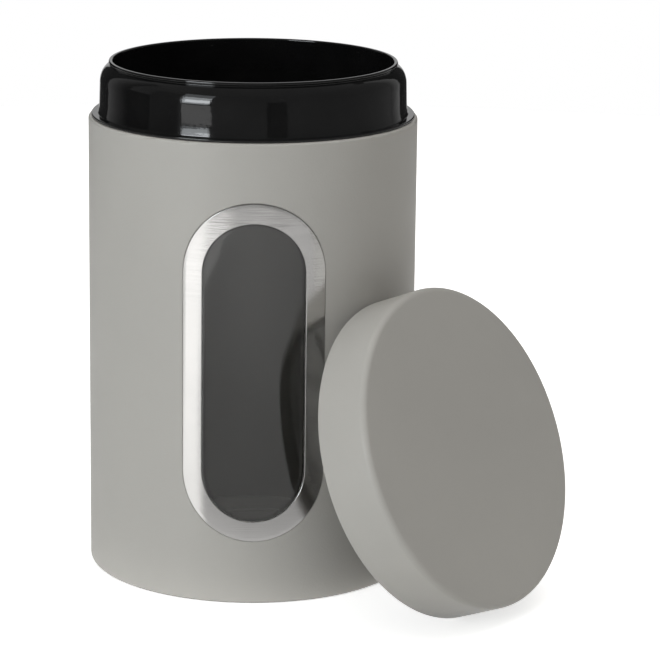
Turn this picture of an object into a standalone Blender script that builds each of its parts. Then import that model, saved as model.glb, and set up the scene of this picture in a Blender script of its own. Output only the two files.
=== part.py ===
# A round storage canister of painted sheet steel with a tall window in its wall and a black
# plastic neck on top. Its metal lid is lifted off: it stands on its open rim and leans against
# the wall. Lengths are in metres, +Z is up, the window faces -Y, and the origin lies on the
# table in the middle of the ground that canister and lid cover together.
import math

import bmesh
import bpy
from mathutils import Vector

# Clearance between pieces that touch
FIT = 0.0003

# Canister wall and base
BODY_RADIUS = 0.055
BODY_HEIGHT = 0.1533
BODY_SHEET = 0.0006
BODY_TOP_ROUND = 0.0009
BODY_FOOT_ROUND = 0.0012
FOOT_WIDTH = 0.0032
BASE_SHEET = 0.0006
BASE_SKIRT = 0.0028
BASE_BEAD_INSET = 0.013
BASE_BEAD_WIDTH = 0.006
BASE_BEAD_RISE = 0.0009

# Neck of moulded plastic
NECK_SETBACK = 0.0035
NECK_HEIGHT = 0.0185
NECK_DRAFT = 0.0003
NECK_WALL = 0.0016
SHOULDER_SWEEP = math.radians(60)
SHOULDER_DEPTH = 0.0026
FLANGE_SETBACK = 0.001
FLANGE_THICKNESS = 0.0007
LIP_HEIGHT = 0.0019
LIP_WALL = 0.0013
LIP_SETBACK = 0.003
SKIRT_STEP = 0.0006
SKIRT_DEPTH = 0.0073
SNAP_BEAD = 0.001
MOUTH_TUBE_DEPTH = 0.0218

# Window: widths run round the wall, lengths run up it
WINDOW_HEIGHT = 0.0777
WINDOW_STRAIGHT = 0.0653
FRAME_HALF_WIDTH = 0.0236
FRAME_BAND = 0.0066
FRAME_SHEET = 0.0006
FRAME_OUTER_ROUND = 0.00045
FRAME_INNER_ROUND = 0.0002
FRAME_COLLAR_WALL = 0.0005
FRAME_COLLAR_DEPTH = 0.0019
PANE_RECESS = 0.0003
PANE_LEDGE = 0.0014
PANE_MARGIN = 0.0046
SEAL_THICKNESS = 0.0005
SEAL_SETBACK = 0.0005
RETAINER_PLATE = 0.0018
RETAINER_RIM = 0.0032

# Lid
LID_SHEET = 0.0005
LID_EDGE_ROUND = 0.002
LID_HEM_HEIGHT = 0.0028
LID_SIDE_CLEARANCE = 0.0005
LINER_PLATE = 0.0007
PLUG_CLEARANCE = 0.0006
PLUG_WALL = 0.0031
PLUG_DEPTH = 0.0088
GROOVE_DEPTH = 0.0017
GROOVE_HEIGHT = 0.0042
GROOVE_FOOT = 0.0016
RIB_COUNT = 12
RIB_THICKNESS = 0.001
RIB_HEIGHT = 0.0024
HUB_RADIUS = 0.0102
HUB_WALL = 0.0012
HUB_HEIGHT = 0.003
SEAL_RING_WALL = 0.0012
SEAL_FIN_REACH = 0.0004
SEAL_FIN_THICKNESS = 0.0005

# How the lid leans: where its face points, how far it leans back, and how far round its rim
# from the top it touches the wall
LEAN_AZIMUTH = math.radians(52.4)
LEAN_TILT = math.radians(22.3)
LEAN_TURN = math.radians(4.9)

# Fineness of the round forms, with fewer steps round the smallest fillets
TURN_STEPS = 56
END_STEPS = 20
SIDE_STEPS = 4
ARC_STEPS = 3
SMALL_ARC_STEPS = 2
SMALL_FILLET = 0.0008
SHOULDER_STEPS = 5

# Levels that several pieces share
FLANGE_UNDERSIDE = BODY_HEIGHT + FIT
FLANGE_TOP = FLANGE_UNDERSIDE + FLANGE_THICKNESS
LIP_TOP = BODY_HEIGHT + NECK_HEIGHT
SHOULDER_LEVEL = LIP_TOP - LIP_HEIGHT

# Radii that several pieces share
BODY_INSIDE = BODY_RADIUS - BODY_SHEET
NECK_RADIUS = BODY_RADIUS - NECK_SETBACK
LIP_RADIUS = NECK_RADIUS - NECK_DRAFT - LIP_SETBACK
MOUTH_RADIUS = LIP_RADIUS - LIP_WALL
SHOULDER_ROUND = LIP_SETBACK / (1 - math.cos(SHOULDER_SWEEP))
SKIRT_RADIUS = NECK_RADIUS - SKIRT_STEP
LID_RADIUS = NECK_RADIUS + LID_SIDE_CLEARANCE + 2 * LID_SHEET
LID_HEIGHT = LIP_TOP - FLANGE_TOP + FIT + LINER_PLATE + LID_SHEET

# Window sizes that several pieces share
PANE_OPENING = FRAME_HALF_WIDTH - FRAME_BAND
COLLAR_OUTSIDE = PANE_OPENING + FRAME_COLLAR_WALL
HOLE_HALF_WIDTH = COLLAR_OUTSIDE + FIT
PANE_EDGE = PANE_OPENING + PANE_MARGIN
FRAME_UNDERSIDE = BODY_RADIUS + FIT
FRAME_FACE = FRAME_UNDERSIDE + FRAME_SHEET
PANE_FACE = FRAME_FACE - PANE_RECESS
SEAL_FRONT = BODY_INSIDE - FIT
SEAL_BACK = SEAL_FRONT - SEAL_THICKNESS
PANE_LEDGE_FACE = SEAL_BACK - FIT
PANE_BACK = PANE_LEDGE_FACE - PANE_LEDGE
RETAINER_FACE = PANE_BACK - FIT


def clear_scene():
    for obj in list(bpy.data.objects):
        bpy.data.objects.remove(obj, do_unlink=True)


def make_material(name, colour, roughness, metallic=0.0, transmission=0.0):
    material = bpy.data.materials.new(name)
    material.use_nodes = True
    shader = material.node_tree.nodes["Principled BSDF"]
    shader.inputs["Base Color"].default_value = (*colour, 1.0)
    shader.inputs["Roughness"].default_value = roughness
    shader.inputs["Metallic"].default_value = metallic
    shader.inputs["Transmission Weight"].default_value = transmission
    return material


def make_object(name, points, faces, material=None):
    """An object from points and faces, with its faces turned outward and smooth rounds."""
    mesh = bpy.data.meshes.new(name)
    mesh.from_pydata(points, [], faces)
    shape = bmesh.new()
    shape.from_mesh(mesh)
    bmesh.ops.recalc_face_normals(shape, faces=shape.faces)
    shape.to_mesh(mesh)
    shape.free()
    mesh.shade_smooth()
    mesh.set_sharp_from_angle(angle=math.radians(30))
    obj = bpy.data.objects.new(name, mesh)
    bpy.context.scene.collection.objects.link(obj)
    if material:
        mesh.materials.append(material)
    return obj


def hide_guide(obj):
    obj.hide_render = True
    obj.display_type = "WIRE"


def combine(obj, other, operation):
    """Cuts or joins obj with a hidden guide shape."""
    hide_guide(other)
    other.parent = obj
    modifier = obj.modifiers.new(operation.title(), "BOOLEAN")
    modifier.object = other
    modifier.operation = operation
    modifier.solver = "EXACT"


def rounded(corners):
    """A closed outline through corners (u, v, fillet), each fillet turned into a short arc."""
    outline = []
    count = len(corners)
    for index, (u, v, fillet) in enumerate(corners):
        here = Vector((u, v))
        if fillet <= 0:
            outline.append((u, v))
            continue
        before = Vector(corners[index - 1][:2]) - here
        after = Vector(corners[(index + 1) % count][:2]) - here
        half = before.angle(after) / 2
        reach = min(fillet / math.tan(half), before.length * 0.9, after.length * 0.9)
        radius = reach * math.tan(half)
        centre = here + (before.normalized() + after.normalized()).normalized() * radius / math.sin(half)
        start = here + before.normalized() * reach - centre
        turn = start.angle_signed(here + after.normalized() * reach - centre)
        steps = SMALL_ARC_STEPS if fillet < SMALL_FILLET else ARC_STEPS
        for step in range(steps + 1):
            angle = -turn * step / steps
            arm = Vector((
                start.x * math.cos(angle) - start.y * math.sin(angle),
                start.x * math.sin(angle) + start.y * math.cos(angle),
            ))
            outline.append(tuple(centre + arm))
    return outline


def grid_object(name, rows, material=None):
    """An object from rows of points, each row and the stack of rows closed in a ring.
    Points that fall together become one, so a row on the axis closes into a pole."""
    points = []
    numbers = {}
    table = []
    for row in rows:
        line = []
        for point in row:
            key = tuple(round(value, 9) for value in point)
            if key not in numbers:
                numbers[key] = len(points)
                points.append(point)
            line.append(numbers[key])
        table.append(line)
    faces = []
    for row in range(len(table)):
        upper, lower = table[row], table[(row + 1) % len(table)]
        for step in range(len(upper)):
            following = (step + 1) % len(upper)
            ring = [upper[step], upper[following], lower[following], lower[step]]
            corners = [number for place, number in enumerate(ring) if number not in ring[:place]]
            if len(corners) > 2:
                faces.append(corners)
    return make_object(name, points, faces, material)


def turned(name, outline, material=None):
    """A piece turned about Z from a closed outline of (radius, height)."""
    rows = []
    for radius, height in outline:
        row = []
        for step in range(TURN_STEPS):
            angle = math.tau * step / TURN_STEPS
            row.append((radius * math.cos(angle), radius * math.sin(angle), height))
        rows.append(row)
    return grid_object(name, rows, material)


def window_path(half_width):
    """The window's outline at one half width: (distance round the wall, height)."""
    half_straight = WINDOW_STRAIGHT / 2
    path = []
    for side in (1, -1):
        for step in range(END_STEPS + 1):
            angle = math.pi * step / END_STEPS
            path.append((
                side * half_width * math.cos(angle),
                side * (half_straight + half_width * math.sin(angle)),
            ))
        for step in range(1, SIDE_STEPS):
            drop = WINDOW_STRAIGHT * step / SIDE_STEPS
            path.append((-side * half_width, side * (half_straight - drop)))
    return path


def window_piece(name, outline, material=None):
    """A piece that follows the window's outline and the curve of the wall, from a closed
    outline of (half width, distance from the canister's axis)."""
    rows = []
    for half_width, radius in outline:
        row = []
        for across, up in window_path(half_width):
            angle = across / BODY_RADIUS
            row.append((radius * math.sin(angle), -radius * math.cos(angle), WINDOW_HEIGHT + up))
        rows.append(row)
    return grid_object(name, rows, material)


def make_body_shell(paint):
    """The tube with its shoulder and foot turned in, and the hole for the window."""
    opening = SKIRT_RADIUS + FIT
    foot_inside = BODY_RADIUS - FOOT_WIDTH
    shell = turned("body_shell", rounded([
        (BODY_RADIUS, 0, BODY_FOOT_ROUND),
        (BODY_RADIUS, BODY_HEIGHT, BODY_TOP_ROUND),
        (opening, BODY_HEIGHT, 0),
        (opening, BODY_HEIGHT - BODY_SHEET, 0),
        (BODY_INSIDE, BODY_HEIGHT - BODY_SHEET, 0),
        (BODY_INSIDE, BODY_SHEET, 0),
        (foot_inside, BODY_SHEET, 0),
        (foot_inside, 0, 0),
    ]), paint)
    cutter = window_piece("window_hole_cutter", [
        (0, BODY_RADIUS + 5 * BODY_SHEET),
        (HOLE_HALF_WIDTH / 2, BODY_RADIUS + 5 * BODY_SHEET),
        (HOLE_HALF_WIDTH, BODY_RADIUS + 5 * BODY_SHEET),
        (HOLE_HALF_WIDTH, BODY_INSIDE - 5 * BODY_SHEET),
        (HOLE_HALF_WIDTH / 2, BODY_INSIDE - 5 * BODY_SHEET),
        (0, BODY_INSIDE - 5 * BODY_SHEET),
    ])
    combine(shell, cutter, "DIFFERENCE")
    return shell


def make_base_plate(steel):
    """A pressed disc with a turned-down rim and one stiffening bead, seated in the foot."""
    outside = BODY_INSIDE - FIT
    rim_foot = BODY_SHEET + FIT
    top = rim_foot + BASE_SKIRT
    bead_outside = outside - BASE_BEAD_INSET
    bead_inside = bead_outside - BASE_BEAD_WIDTH
    slope = BASE_BEAD_RISE
    return turned("base_plate", rounded([
        (0, top, 0),
        (bead_inside, top, 0),
        (bead_inside + slope, top + BASE_BEAD_RISE, 0),
        (bead_outside - slope, top + BASE_BEAD_RISE, 0),
        (bead_outside, top, 0),
        (outside, top, 2 * BASE_SHEET),
        (outside, rim_foot, 0),
        (outside - BASE_SHEET, rim_foot, 0),
        (outside - BASE_SHEET, top - BASE_SHEET, BASE_SHEET),
        (bead_outside, top - BASE_SHEET, 0),
        (bead_outside - slope, top - BASE_SHEET + BASE_BEAD_RISE, 0),
        (bead_inside + slope, top - BASE_SHEET + BASE_BEAD_RISE, 0),
        (bead_inside, top - BASE_SHEET, 0),
        (0, top - BASE_SHEET, 0),
    ]), steel)


def shoulder_outline():
    """The arc from the foot of the lip down to the neck's wall, which it meets smoothly."""
    centre_radius = NECK_RADIUS - NECK_DRAFT - SHOULDER_ROUND
    centre_height = SHOULDER_LEVEL - SHOULDER_ROUND * math.sin(SHOULDER_SWEEP)
    outline = []
    for step in range(SHOULDER_STEPS + 1):
        angle = SHOULDER_SWEEP * (1 - step / SHOULDER_STEPS)
        radius = centre_radius + SHOULDER_ROUND * math.cos(angle)
        height = centre_height + SHOULDER_ROUND * math.sin(angle)
        outline.append((radius, height, 0))
    return outline


def make_neck_collar(plastic):
    """The moulded neck: lip, rounded shoulder, drafted wall, flange, and below the flange a
    skirt with a snap bead outside and a plain tube round the mouth."""
    skirt_inside = SKIRT_RADIUS - NECK_WALL
    tube_outside = MOUTH_RADIUS + NECK_WALL
    shoulder_underside = SHOULDER_LEVEL - SHOULDER_DEPTH
    bead_top = BODY_HEIGHT - BODY_SHEET - FIT
    skirt_foot = BODY_HEIGHT - SKIRT_DEPTH
    tube_foot = LIP_TOP - MOUTH_TUBE_DEPTH
    return turned("neck_collar", rounded([
        (MOUTH_RADIUS, LIP_TOP, LIP_WALL * 0.35),
        (LIP_RADIUS, LIP_TOP, LIP_WALL * 0.35),
        *shoulder_outline(),
        (NECK_RADIUS, FLANGE_TOP, 0),
        (BODY_RADIUS - FLANGE_SETBACK, FLANGE_TOP, FLANGE_THICKNESS * 0.35),
        (BODY_RADIUS - FLANGE_SETBACK, FLANGE_UNDERSIDE, 0),
        (SKIRT_RADIUS, FLANGE_UNDERSIDE, 0),
        (SKIRT_RADIUS, bead_top, 0),
        (SKIRT_RADIUS + SNAP_BEAD, bead_top - SNAP_BEAD, 0),
        (SKIRT_RADIUS, bead_top - 3 * SNAP_BEAD, 0),
        (SKIRT_RADIUS, skirt_foot, 0),
        (skirt_inside, skirt_foot, 0),
        (skirt_inside, shoulder_underside, 0),
        (tube_outside, shoulder_underside, 0),
        (tube_outside, tube_foot, 0),
        (MOUTH_RADIUS, tube_foot, 0),
    ]), plastic)


def make_window_frame(steel):
    """The bright band round the window, rounded outside and rolled inward to a short collar."""
    collar_back = FRAME_FACE - FRAME_COLLAR_DEPTH
    return window_piece("window_frame", rounded([
        (PANE_OPENING, collar_back, 0),
        (PANE_OPENING, FRAME_FACE, FRAME_INNER_ROUND),
        (FRAME_HALF_WIDTH, FRAME_FACE, FRAME_OUTER_ROUND),
        (FRAME_HALF_WIDTH, FRAME_UNDERSIDE, 0),
        (COLLAR_OUTSIDE, FRAME_UNDERSIDE, 0),
        (COLLAR_OUTSIDE, collar_back, 0),
    ]), steel)


def make_window_pane(clear):
    """The clear pane: its raised middle fills the frame, its thinner edge lies behind the wall."""
    middle = PANE_OPENING - FIT
    return window_piece("window_pane", rounded([
        (0, PANE_FACE, 0),
        (middle / 3, PANE_FACE, 0),
        (middle * 2 / 3, PANE_FACE, 0),
        (middle, PANE_FACE, 0),
        (middle, PANE_LEDGE_FACE, 0),
        (PANE_EDGE, PANE_LEDGE_FACE, 0),
        (PANE_EDGE, PANE_BACK, 0),
        (middle, PANE_BACK, 0),
        (middle * 2 / 3, PANE_BACK, 0),
        (middle / 3, PANE_BACK, 0),
        (0, PANE_BACK, 0),
    ]), clear)


def make_window_seal(rubber):
    """The flat gasket between the wall and the pane's edge."""
    inside = HOLE_HALF_WIDTH + SEAL_SETBACK
    outside = PANE_EDGE - SEAL_SETBACK
    return window_piece("window_seal", [
        (inside, SEAL_FRONT),
        (outside, SEAL_FRONT),
        (outside, SEAL_BACK),
        (inside, SEAL_BACK),
    ], rubber)


def make_window_retainer(plastic):
    """The frame inside the canister that holds the pane to the wall."""
    rim_inside = PANE_EDGE + FIT
    rim_outside = rim_inside + RETAINER_RIM
    back = RETAINER_FACE - RETAINER_PLATE
    return window_piece("window_retainer", rounded([
        (HOLE_HALF_WIDTH, RETAINER_FACE, 0),
        (rim_inside, RETAINER_FACE, 0),
        (rim_inside, SEAL_FRONT, 0),
        (rim_outside, SEAL_FRONT, 0),
        (rim_outside, back, RETAINER_PLATE / 2),
        (HOLE_HALF_WIDTH, back, RETAINER_PLATE / 2),
    ]), plastic)


def make_lid_shell(paint):
    """The pressed cap in its own frame: open rim at height 0, flat face on top, and the rim
    folded back inside on itself."""
    inside = LID_RADIUS - LID_SHEET
    hem_inside = inside - LID_SHEET
    return turned("lid_shell", rounded([
        (0, LID_HEIGHT, 0),
        (LID_RADIUS, LID_HEIGHT, LID_EDGE_ROUND),
        (LID_RADIUS, 0, LID_SHEET),
        (hem_inside, 0, LID_SHEET),
        (hem_inside, LID_HEM_HEIGHT, 0),
        (inside, LID_HEM_HEIGHT, 0),
        (inside, LID_HEIGHT - LID_SHEET, LID_EDGE_ROUND - LID_SHEET),
        (0, LID_HEIGHT - LID_SHEET, 0),
    ]), paint)


def plug_levels():
    """Heights in the lid's frame: underside of the liner's plate, groove top, groove foot."""
    plate_underside = LID_HEIGHT - LID_SHEET - FIT - LINER_PLATE
    groove_foot = plate_underside - PLUG_DEPTH + GROOVE_FOOT
    return plate_underside, groove_foot + GROOVE_HEIGHT, groove_foot


def make_lid_liner(plastic):
    """The moulded liner under the lid's face: a plate, a plug ring with a groove for the
    sealing ring, a hub and radial ribs."""
    plate_underside, groove_top, groove_foot = plug_levels()
    plate_top = plate_underside + LINER_PLATE
    plate_radius = LID_RADIUS - LID_EDGE_ROUND
    plug_foot = plate_underside - PLUG_DEPTH
    plug_outside = MOUTH_RADIUS - PLUG_CLEARANCE
    plug_inside = plug_outside - PLUG_WALL
    groove_floor = plug_outside - GROOVE_DEPTH
    hub_inside = HUB_RADIUS - HUB_WALL
    liner = turned("lid_liner", rounded([
        (0, plate_top, 0),
        (plate_radius, plate_top, 0),
        (plate_radius, plate_underside, 0),
        (plug_outside, plate_underside, 0),
        (plug_outside, groove_top, 0),
        (groove_floor, groove_top, 0),
        (groove_floor, groove_foot, 0),
        (plug_outside, groove_foot, 0),
        (plug_outside, plug_foot, GROOVE_FOOT / 2),
        (plug_inside, plug_foot, 0),
        (plug_inside, plate_underside, 0),
        (HUB_RADIUS, plate_underside, 0),
        (HUB_RADIUS, plate_underside - HUB_HEIGHT, 0),
        (hub_inside, plate_underside - HUB_HEIGHT, 0),
        (hub_inside, plate_underside, 0),
        (0, plate_underside, 0),
    ]), plastic)
    combine(liner, make_liner_ribs(hub_inside, plug_inside, plate_underside), "UNION")
    return liner


def make_liner_ribs(hub_inside, plug_inside, plate_underside):
    """Radial ribs from the hub's wall to the plug's wall, sunk a little into both."""
    start = hub_inside + HUB_WALL / 2
    end = plug_inside + HUB_WALL / 2
    low = plate_underside - RIB_HEIGHT
    high = plate_underside + LINER_PLATE / 2
    half = RIB_THICKNESS / 2
    points = []
    faces = []
    for rib in range(RIB_COUNT):
        angle = math.tau * (rib + 0.5) / RIB_COUNT
        along = Vector((math.cos(angle), math.sin(angle), 0))
        side = Vector((-math.sin(angle), math.cos(angle), 0))
        first = len(points)
        for height in (low, high):
            for distance, shift in ((start, -half), (end, -half), (end, half), (start, half)):
                points.append(tuple(along * distance + side * shift + Vector((0, 0, height))))
        for face in ((0, 3, 2, 1), (4, 5, 6, 7), (0, 1, 5, 4), (1, 2, 6, 5), (2, 3, 7, 6), (3, 0, 4, 7)):
            faces.append([first + corner for corner in face])
    return make_object("liner_ribs_guide", points, faces)


def make_lid_seal(silicone):
    """The soft ring in the plug's groove, with two fins that press on the mouth."""
    _, groove_top, groove_foot = plug_levels()
    inside = MOUTH_RADIUS - PLUG_CLEARANCE - GROOVE_DEPTH + FIT
    outside = inside + SEAL_RING_WALL
    fin_tip = MOUTH_RADIUS + SEAL_FIN_REACH
    top = groove_top - FIT
    foot = groove_foot + FIT
    middle = (top + foot) / 2
    return turned("lid_seal", [
        (inside, top),
        (outside, top),
        (fin_tip, top - SEAL_FIN_THICKNESS),
        (fin_tip, top - 2 * SEAL_FIN_THICKNESS),
        (outside, middle + SEAL_FIN_THICKNESS / 2),
        (outside, middle),
        (fin_tip, middle - SEAL_FIN_THICKNESS),
        (fin_tip, middle - 2 * SEAL_FIN_THICKNESS),
        (outside, foot),
        (inside, foot),
    ], silicone)


def lean_directions():
    """Three directions of the leaning lid: level across, up in its plane, out of its face."""
    level = Vector((math.cos(LEAN_AZIMUTH), math.sin(LEAN_AZIMUTH), 0))
    face = Vector((
        math.sin(LEAN_AZIMUTH) * math.cos(LEAN_TILT),
        -math.cos(LEAN_AZIMUTH) * math.cos(LEAN_TILT),
        math.sin(LEAN_TILT),
    ))
    return level, face.cross(level), face


def lid_place():
    """Centre of the leaning lid's open rim, from the canister's axis at table level. The
    rolled edge of the rim, a ring of small radius, rests on the table and meets the wall."""
    level, up, face = lean_directions()
    roll = LID_SHEET
    ring = LID_RADIUS - roll
    out = Vector((face.x, face.y, 0)).normalized()
    normal = out * math.cos(LEAN_TURN) - level * math.sin(LEAN_TURN) * math.sin(LEAN_TILT)
    touch = normal.normalized() * (BODY_RADIUS + FIT + roll)
    centre = touch - ring * (level * math.sin(LEAN_TURN) + up * math.cos(LEAN_TURN))
    centre -= face * roll
    centre.z = ring * up.z + roll - roll * face.z
    return centre


def footprint_centre():
    """Middle of the ground that canister and leaning lid cover, from the canister's axis."""
    face = lean_directions()[2]
    far = lid_place() + face * LID_HEIGHT
    ring = LID_RADIUS - LID_EDGE_ROUND
    reach_x = far.x - LID_EDGE_ROUND * face.x + ring * math.sqrt(1 - face.x ** 2) + LID_EDGE_ROUND
    reach_y = far.y - LID_EDGE_ROUND * face.y - ring * math.sqrt(1 - face.y ** 2) - LID_EDGE_ROUND
    return Vector(((reach_x - BODY_RADIUS) / 2, (reach_y + BODY_RADIUS) / 2, 0))


def make_frame(name, location, rotation, children):
    """An empty that carries a group of pieces."""
    empty = bpy.data.objects.new(name, None)
    empty.location = location
    empty.rotation_euler = rotation
    bpy.context.scene.collection.objects.link(empty)
    for child in children:
        child.parent = empty
    return empty


def build():
    clear_scene()
    paint = make_material("Warm grey paint", (0.38, 0.37, 0.35), 0.5)
    steel = make_material("Bright steel", (0.62, 0.61, 0.6), 0.22, metallic=1.0)
    tin = make_material("Tinned steel", (0.45, 0.45, 0.44), 0.4, metallic=1.0)
    black = make_material("Black plastic", (0.012, 0.012, 0.013), 0.25)
    grey = make_material("Pale grey plastic", (0.5, 0.5, 0.49), 0.4)
    clear = make_material("Clear plastic", (0.8, 0.82, 0.82), 0.04, transmission=1.0)
    rubber = make_material("Dark rubber", (0.03, 0.03, 0.03), 0.7)
    silicone = make_material("Milky silicone", (0.6, 0.6, 0.58), 0.5)
    canister_pieces = [
        make_body_shell(paint),
        make_base_plate(tin),
        make_neck_collar(black),
        make_window_frame(steel),
        make_window_pane(clear),
        make_window_seal(rubber),
        make_window_retainer(black),
    ]
    lid_pieces = [
        make_lid_shell(paint),
        make_lid_liner(grey),
        make_lid_seal(silicone),
    ]
    centre = footprint_centre()
    make_frame("canister_place", -centre, (0, 0, 0), canister_pieces)
    make_frame("lid_place", lid_place() - centre, (math.pi / 2 - LEAN_TILT, 0, LEAN_AZIMUTH), lid_pieces)


build()
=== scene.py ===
# %% [markdown]
# # A storage canister with its lid lifted off
# The object is an upright canister of painted sheet steel. A glossy black plastic neck is
# clipped into its top, and a tall clear window in a bright steel band lets you see how full it
# is. Its lid has been lifted off and leans against the wall. This script dresses the packed
# solid parts: each visible piece is rebuilt with fine rounds and gets a finish made of nodes.
# Every length is in metres and +Z is up, in the same frame as the solid parts.

# %% Load the solid parts
import math

import bmesh
import bpy
import numpy as np
from mathutils import Matrix, Vector


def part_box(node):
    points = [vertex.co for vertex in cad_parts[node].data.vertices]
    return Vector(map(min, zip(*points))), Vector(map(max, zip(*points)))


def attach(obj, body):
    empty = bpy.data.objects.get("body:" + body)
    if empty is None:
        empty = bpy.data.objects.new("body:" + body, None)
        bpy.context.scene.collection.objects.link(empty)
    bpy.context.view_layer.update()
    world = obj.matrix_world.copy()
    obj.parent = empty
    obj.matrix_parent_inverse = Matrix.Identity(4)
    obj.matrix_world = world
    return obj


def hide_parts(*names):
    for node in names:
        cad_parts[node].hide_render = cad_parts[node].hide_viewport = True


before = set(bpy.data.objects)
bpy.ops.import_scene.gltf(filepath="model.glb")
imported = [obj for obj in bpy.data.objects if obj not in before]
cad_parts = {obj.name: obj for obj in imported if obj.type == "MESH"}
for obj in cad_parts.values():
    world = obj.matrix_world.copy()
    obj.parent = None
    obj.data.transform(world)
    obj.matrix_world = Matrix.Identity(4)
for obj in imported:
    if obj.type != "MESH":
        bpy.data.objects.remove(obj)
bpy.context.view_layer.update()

wall_low, wall_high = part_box("body_shell")
AXIS = Vector(((wall_low.x + wall_high.x) / 2, (wall_low.y + wall_high.y) / 2, 0))
print("canister axis at", tuple(round(value, 5) for value in AXIS))
print("solid parts:", sorted(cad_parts))

# %% [markdown]
# ## The camera
# The camera comes first, because every later choice is judged through it. It stands a metre in
# front of the canister and a third of a metre up, so that we look down into the mouth a little.
# The long lens keeps the walls nearly upright. The small shift places the object in the frame
# as a view camera would, without tipping the picture further.

# %% Camera
CAMERA_PLACE = Vector((-0.013326, -0.994885, 0.329282))
CAMERA_TURN = math.radians(-1.2549)
CAMERA_DIP = math.radians(12.8735)
CAMERA_ROLL = math.radians(0.4571)
LENS = 164.492
SHIFT_X = 0.08
SHIFT_Y = -0.10


def new_object(name, data):
    """Puts a new object into the scene."""
    thing = bpy.data.objects.new(name, data)
    bpy.context.scene.collection.objects.link(thing)
    return thing


camera = new_object("camera", bpy.data.cameras.new("camera"))
camera.data.lens = LENS
camera.data.sensor_width = 36
camera.data.shift_x = SHIFT_X
camera.data.shift_y = SHIFT_Y
camera.data.clip_end = 50
turn = Matrix.Rotation(CAMERA_TURN, 4, "Z")
dip = Matrix.Rotation(math.pi / 2 - CAMERA_DIP, 4, "X")
roll = Matrix.Rotation(CAMERA_ROLL, 4, "Z")
camera.matrix_world = Matrix.Translation(AXIS + CAMERA_PLACE) @ turn @ dip @ roll
bpy.context.scene.camera = camera
bpy.context.scene.view_settings.view_transform = "Standard"
print("camera stands", round(CAMERA_PLACE.length, 3), "m from the foot of the canister")

# %% [markdown]
# ## Small tools for node trees
# Shaders and Geometry Nodes are both trees of nodes, and a few helpers keep the cells short.
# `add` makes a node, `fill` fills its inputs, `result` gives its first output, and `open_tree`
# makes a reusable group with named inputs and outputs. An input that is given a socket gets
# wired, and any other value is typed in.

# %% Helpers for node trees
def fill(tree, node, inputs):
    """Fills a node's inputs by name: sockets are wired in, other values are typed in."""
    for name, value in inputs.items():
        if isinstance(value, bpy.types.NodeSocket):
            tree.links.new(value, node.inputs[name])
        else:
            node.inputs[name].default_value = value


def add(tree, kind, inputs=None, **settings):
    """A new node with its settings and its filled inputs."""
    node = tree.nodes.new(kind)
    for name, value in settings.items():
        setattr(node, name, value)
    fill(tree, node, inputs or {})
    return node


def result(tree, kind, inputs=None, **settings):
    """The first output of a new node."""
    return add(tree, kind, inputs, **settings).outputs[0]


def calculate(tree, operation, *values):
    """The result of a Math node."""
    return result(tree, "ShaderNodeMath", dict(enumerate(values)), operation=operation)


def combine(tree, **parts):
    """A vector made of X, Y and Z. A part that is left out is zero."""
    return result(tree, "ShaderNodeCombineXYZ", parts)


def split(tree, vector):
    """The X, Y and Z of a vector."""
    return add(tree, "ShaderNodeSeparateXYZ", {"Vector": vector}).outputs


def open_tree(name, tree_kind, inputs, outputs):
    """A group with named sockets: its tree, the values that come in and its output node."""
    tree = bpy.data.node_groups.new(name, tree_kind)
    sockets = tree.interface
    for label, kind, default in inputs:
        socket = sockets.new_socket(label, in_out="INPUT", socket_type="NodeSocket" + kind)
        if default is not None:
            socket.default_value = default
    for label, kind in outputs:
        sockets.new_socket(label, in_out="OUTPUT", socket_type="NodeSocket" + kind)
    return tree, tree.nodes.new("NodeGroupInput").outputs, tree.nodes.new("NodeGroupOutput")


def open_material(name):
    """A material with its tree and its Principled shader."""
    material = bpy.data.materials.new(name)
    material.use_nodes = True
    tree = material.node_tree
    return material, tree, tree.nodes["Principled BSDF"]


# %% [markdown]
# ## The studio
# The canister stands on a matte white table in a white room. Both shine a little for camera,
# mirror and glass rays only. That makes the ground of the picture white without adding light
# to the object.

# %% Table and room
WHITE = (1, 1, 1, 1)
ROOM_LIGHT = 0.4
TABLE_COLOUR = (0.85, 0.845, 0.83, 1)
TABLE_LIFT_SEEN = 0.64
TABLE_LIFT_MIRRORED = 0.02
TABLE_RADIUS = 0.9


def seen_directly(tree):
    """Sockets that are 1 for camera rays, and 1 for rays in a mirror or through glass."""
    path = add(tree, "ShaderNodeLightPath").outputs
    mirrored = calculate(tree, "MAXIMUM", path["Is Glossy Ray"], path["Is Transmission Ray"])
    return path["Is Camera Ray"], mirrored


def set_stage(name, shape, material):
    """Makes an object of the set from a bmesh."""
    mesh = bpy.data.meshes.new(name)
    shape.to_mesh(mesh)
    shape.free()
    mesh.materials.append(material)
    prop = new_object(name, mesh)
    return prop


table_material, tree, shader = open_material("white table")
camera_ray, mirror_ray = seen_directly(tree)
lift_seen = calculate(tree, "MULTIPLY", camera_ray, TABLE_LIFT_SEEN)
lift_mirrored = calculate(tree, "MULTIPLY", mirror_ray, TABLE_LIFT_MIRRORED)
fill(tree, shader, {
    "Base Color": TABLE_COLOUR,
    "Roughness": 0.5,
    "Specular IOR Level": 0,
    "Emission Color": WHITE,
    "Emission Strength": calculate(tree, "MAXIMUM", lift_seen, lift_mirrored),
})
shape = bmesh.new()
bmesh.ops.create_circle(
    shape, cap_ends=True, radius=TABLE_RADIUS, segments=96, matrix=Matrix.Translation(AXIS),
)
set_stage("table", shape, table_material)

world = bpy.data.worlds.new("white room")
world.use_nodes = True
bpy.context.scene.world = world
tree = world.node_tree
white = calculate(tree, "MAXIMUM", *seen_directly(tree))
strength = result(tree, "ShaderNodeMapRange", {"Value": white, "To Min": ROOM_LIGHT, "To Max": 1})
fill(tree, tree.nodes["Background"], {"Color": WHITE, "Strength": strength})
print("table", 2 * TABLE_RADIUS, "m across, in the", world.name)
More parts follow.
